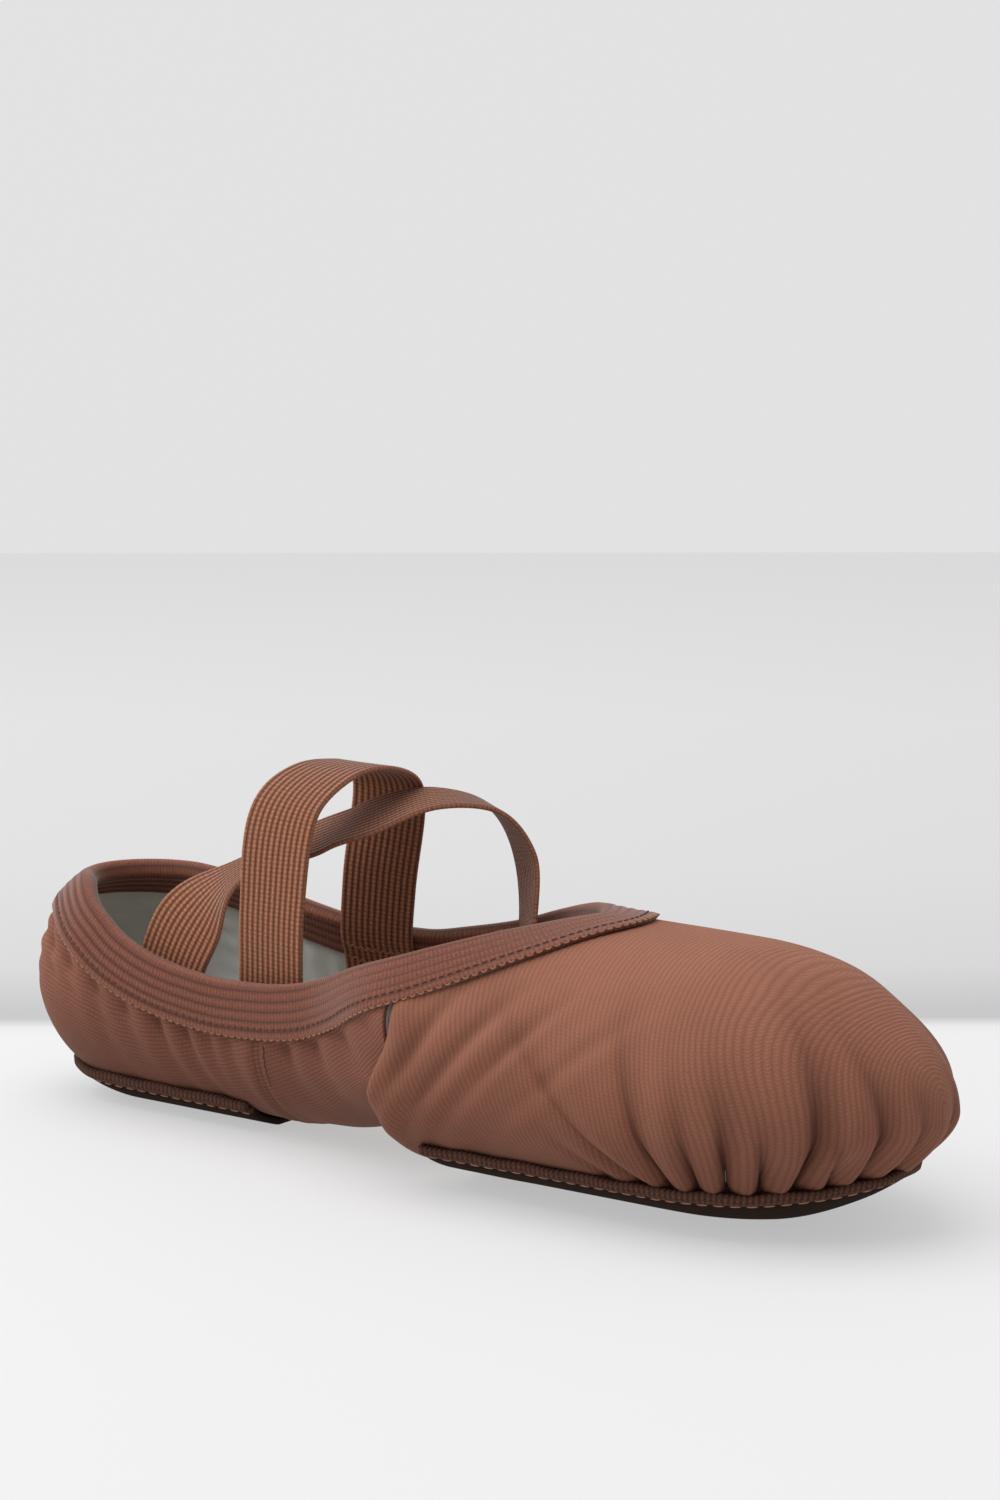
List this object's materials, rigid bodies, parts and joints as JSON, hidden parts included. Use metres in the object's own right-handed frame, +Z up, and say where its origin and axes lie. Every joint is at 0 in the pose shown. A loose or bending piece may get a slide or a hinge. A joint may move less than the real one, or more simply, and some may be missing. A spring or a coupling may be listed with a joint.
{
  "type": "ballet slipper",
  "caption": "Soft split-sole ballet slipper of stretch canvas with suede patches, a folded elastic collar and crossed elastic straps.",
  "frame": {"origin": "middle of the slipper's overall box, on the floor plane under the soles", "axes": "+X towards the toe, +Y towards the wearer's left, +Z up"},
  "size_m": [0.236, 0.08, 0.0824],
  "materials": {
    "canvas": "matt ribbed stretch canvas",
    "lining": "matt woven cotton",
    "elastic": "ribbed elastic tape with a slight sheen",
    "suede": "dark napped suede",
    "insole_pad": "cotton over thin foam",
    "thread": "twisted polyester thread"
  },
  "bodies": {
    "heel": {"heel_outsole": "suede", "heel_insole_pad": "insole_pad", "right_heel_quarter": "canvas", "left_heel_quarter": "canvas", "right_arch_panel": "canvas", "left_arch_panel": "canvas", "heel_lining": "lining", "heel_binding": "elastic", "heel_binding_stitching": "thread", "heel_sole_stitching": "thread", "right_side_seam_stitching": "thread", "left_side_seam_stitching": "thread", "back_seam_stitching": "thread", "cross_strap_right_end": "elastic", "cross_strap_left_end": "elastic", "long_strap_right_end": "elastic", "long_strap_left_end": "elastic", "cross_strap_right_tack": "thread", "cross_strap_left_tack": "thread", "long_strap_right_tack": "thread", "long_strap_left_tack": "thread"},
    "forefoot": {"vamp": "canvas", "forefoot_lining": "lining", "front_outsole": "suede", "front_insole_pad": "insole_pad", "throat_binding": "elastic", "throat_binding_stitching": "thread", "front_sole_stitching": "thread"},
    "cross_strap": {"cross_strap": "elastic"},
    "long_strap": {"long_strap": "elastic"}
  },
  "joints": [
    {"name": "arch_flex", "type": "hinge", "parent": "heel", "child": "forefoot", "pos_m": [0.00652, 0, 0.02], "axis": [0, 1, 0], "range_deg": [0, 30]},
    {"name": "long_strap_stretch", "type": "slide", "parent": "heel", "child": "long_strap", "axis": [0, 0, 1], "range_m": [0, 0.015], "stiffness_N_per_m": 120},
    {"name": "cross_strap_stretch", "type": "slide", "parent": "heel", "child": "cross_strap", "axis": [0, 0, 1], "range_m": [0, 0.015], "stiffness_N_per_m": 120}
  ],
  "couplings": [
    {"joint": "cross_strap_stretch", "follows": "long_strap_stretch", "ratio": 1}
  ]
}
